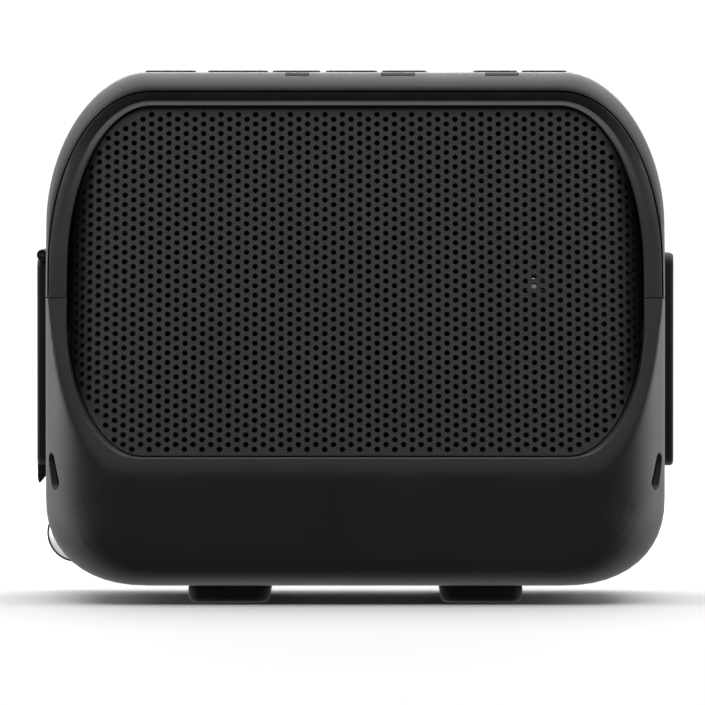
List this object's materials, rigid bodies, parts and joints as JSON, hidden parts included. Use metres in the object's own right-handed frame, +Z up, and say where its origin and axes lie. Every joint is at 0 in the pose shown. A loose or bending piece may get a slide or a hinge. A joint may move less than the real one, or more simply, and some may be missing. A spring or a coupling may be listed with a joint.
{
  "type": "shower speaker",
  "caption": "Compact splash-proof speaker: rounded box, leaning perforated grille over an upright chin, top key row, side port flap, strap slots and rail feet.",
  "frame": {"origin": "middle of the base, on the surface that the rail feet stand on", "axes": "+X across the width to the right as seen from the front, -Y out of the front, +Z up"},
  "size_m": [0.1348, 0.062, 0.1116],
  "materials": {
    "housing_plastic": "fine-textured moulded ABS, near black",
    "crown_plastic": "fine-textured moulded ABS, black",
    "trim_plastic": "smooth satin moulded ABS, black",
    "grille_steel": "perforated steel, satin black powder coat",
    "acoustic_cloth": "black water-repellent acoustic mesh",
    "seal_rubber": "matt black silicone rubber",
    "screw_steel": "plated steel",
    "inner_plastic": "unpolished black moulding",
    "basket_steel": "pressed steel, satin black",
    "cone_paper": "black coated pulp",
    "coil_copper": "enamelled copper wire",
    "spider_cloth": "resin-stiffened corrugated cloth",
    "plate_steel": "zinc-plated steel",
    "magnet_ferrite": "sintered ferrite, dark grey",
    "cell_can": "shrink-wrapped metal can, blue",
    "circuit_board": "green solder resist on glass laminate",
    "chip_plastic": "black moulding compound",
    "shield_can": "tinned steel",
    "key_elastomer": "matt black elastomer",
    "smoked_lens": "smoked translucent polycarbonate",
    "lamp_lens": "clear light guide",
    "flap_elastomer": "matt black elastomer",
    "button_chrome": "bright plated",
    "foot_rubber": "matt dark grey rubber"
  },
  "bodies": {
    "housing": {"front_housing": "housing_plastic", "rear_housing": "crown_plastic", "arched_trim": "trim_plastic", "grille": "grille_steel", "splash_mesh": "acoustic_cloth", "housing_seal": "seal_rubber", "housing_screws": "screw_steel", "rear_cover": "housing_plastic", "rear_cover_seal": "seal_rubber", "rear_cover_screws": "screw_steel", "baffle_plate": "inner_plastic", "driver_basket": "basket_steel", "driver_gasket": "seal_rubber", "driver_screws": "screw_steel", "cone_surround": "seal_rubber", "spider": "spider_cloth", "top_plate": "plate_steel", "magnet": "magnet_ferrite", "yoke": "plate_steel", "battery_cells": "cell_can", "battery_tray": "inner_plastic", "battery_clamps": "basket_steel", "main_board": "circuit_board", "board_parts": "chip_plastic", "radio_module": "shield_can", "port_board": "circuit_board", "charging_socket": "shield_can", "audio_jack": "chip_plastic", "key_board": "circuit_board", "tact_switches": "shield_can", "key_frame": "key_elastomer", "microphone": "chip_plastic", "key_lamps": "smoked_lens", "status_lamp": "lamp_lens", "charge_lamps": "smoked_lens", "flap_pin": "screw_steel", "side_cover": "flap_elastomer", "left_strap_socket": "seal_rubber", "right_strap_socket": "seal_rubber", "strap_button": "button_chrome", "left_foot": "foot_rubber", "right_foot": "foot_rubber"},
    "power_button": {"power_key": "key_elastomer"},
    "pairing_button": {"pairing_key": "key_elastomer"},
    "volume_down_button": {"volume_down_key": "key_elastomer"},
    "play_button": {"play_key": "key_elastomer"},
    "volume_up_button": {"volume_up_key": "key_elastomer"},
    "track_back_button": {"track_back_key": "key_elastomer"},
    "track_forward_button": {"track_forward_key": "key_elastomer"},
    "port_door": {"port_flap": "flap_elastomer"},
    "cone_unit": {"cone": "cone_paper", "dust_cap": "cone_paper", "voice_coil": "coil_copper"}
  },
  "joints": [
    {"name": "power_press", "type": "slide", "parent": "housing", "child": "power_button", "axis": [0, 0, -1], "range_m": [0, 0.0005], "stiffness_N_per_m": 400},
    {"name": "pairing_press", "type": "slide", "parent": "housing", "child": "pairing_button", "axis": [0, 0, -1], "range_m": [0, 0.0005], "stiffness_N_per_m": 400},
    {"name": "volume_down_press", "type": "slide", "parent": "housing", "child": "volume_down_button", "axis": [0, 0, -1], "range_m": [0, 0.0005], "stiffness_N_per_m": 400},
    {"name": "play_press", "type": "slide", "parent": "housing", "child": "play_button", "axis": [0, 0, -1], "range_m": [0, 0.0005], "stiffness_N_per_m": 400},
    {"name": "volume_up_press", "type": "slide", "parent": "housing", "child": "volume_up_button", "axis": [0, 0, -1], "range_m": [0, 0.0005], "stiffness_N_per_m": 400},
    {"name": "track_back_press", "type": "slide", "parent": "housing", "child": "track_back_button", "axis": [0, 0, -1], "range_m": [0, 0.0005], "stiffness_N_per_m": 400},
    {"name": "track_forward_press", "type": "slide", "parent": "housing", "child": "track_forward_button", "axis": [0, 0, -1], "range_m": [0, 0.0005], "stiffness_N_per_m": 400},
    {"name": "flap_hinge", "type": "hinge", "parent": "housing", "child": "port_door", "pos_m": [-0.0662, 0.009, 0.0725], "axis": [0, 1, 0], "range_deg": [0, 120]},
    {"name": "cone_stroke", "type": "slide", "parent": "housing", "child": "cone_unit", "axis": [0, 0.9455, -0.3256], "range_m": [-0.0015, 0.0015], "stiffness_N_per_m": 1500}
  ]
}
